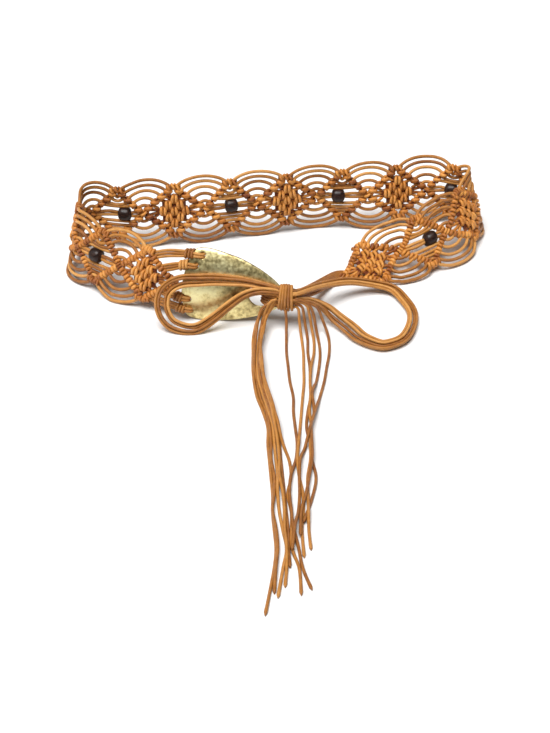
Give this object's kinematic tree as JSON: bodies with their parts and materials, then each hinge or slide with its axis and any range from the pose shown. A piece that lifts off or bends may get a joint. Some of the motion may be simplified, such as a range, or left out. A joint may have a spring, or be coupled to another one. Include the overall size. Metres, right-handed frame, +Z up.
{
  "type": "rope belt",
  "caption": "Macrame rope belt of waxed cord with wooden beads, tied shut through a leaf-shaped brass buckle plate and standing on its edge as a loop, with long loose tie ends.",
  "frame": {"origin": "on the surface the belt stands on, under the middle of what stands there, without the bow and the loose ends", "axes": "+Z up across the standing band, -Y to the front where the buckle plate and the bow are, +X to the right along the plate towards its tip"},
  "size_m": [0.2982, 0.4035, 0.0512],
  "materials": {
    "cord": "waxed cotton, soft sheen",
    "bead": "dark stained and glossy",
    "brass": "antique, mottled, satin"
  },
  "bodies": {
    "root": {"band": "cord", "bead_1": "bead", "bead_2": "bead", "bead_3": "bead", "bead_4": "bead", "bead_5": "bead", "bead_6": "bead", "buckle_plate": "brass", "lacing_1": "cord", "lacing_2": "cord", "lacing_3": "cord", "lacing_4": "cord", "tie_neck": "cord", "tie_knot": "cord", "bow_left": "cord", "bow_right": "cord", "tie_ends": "cord"}
  },
  "joints": []
}
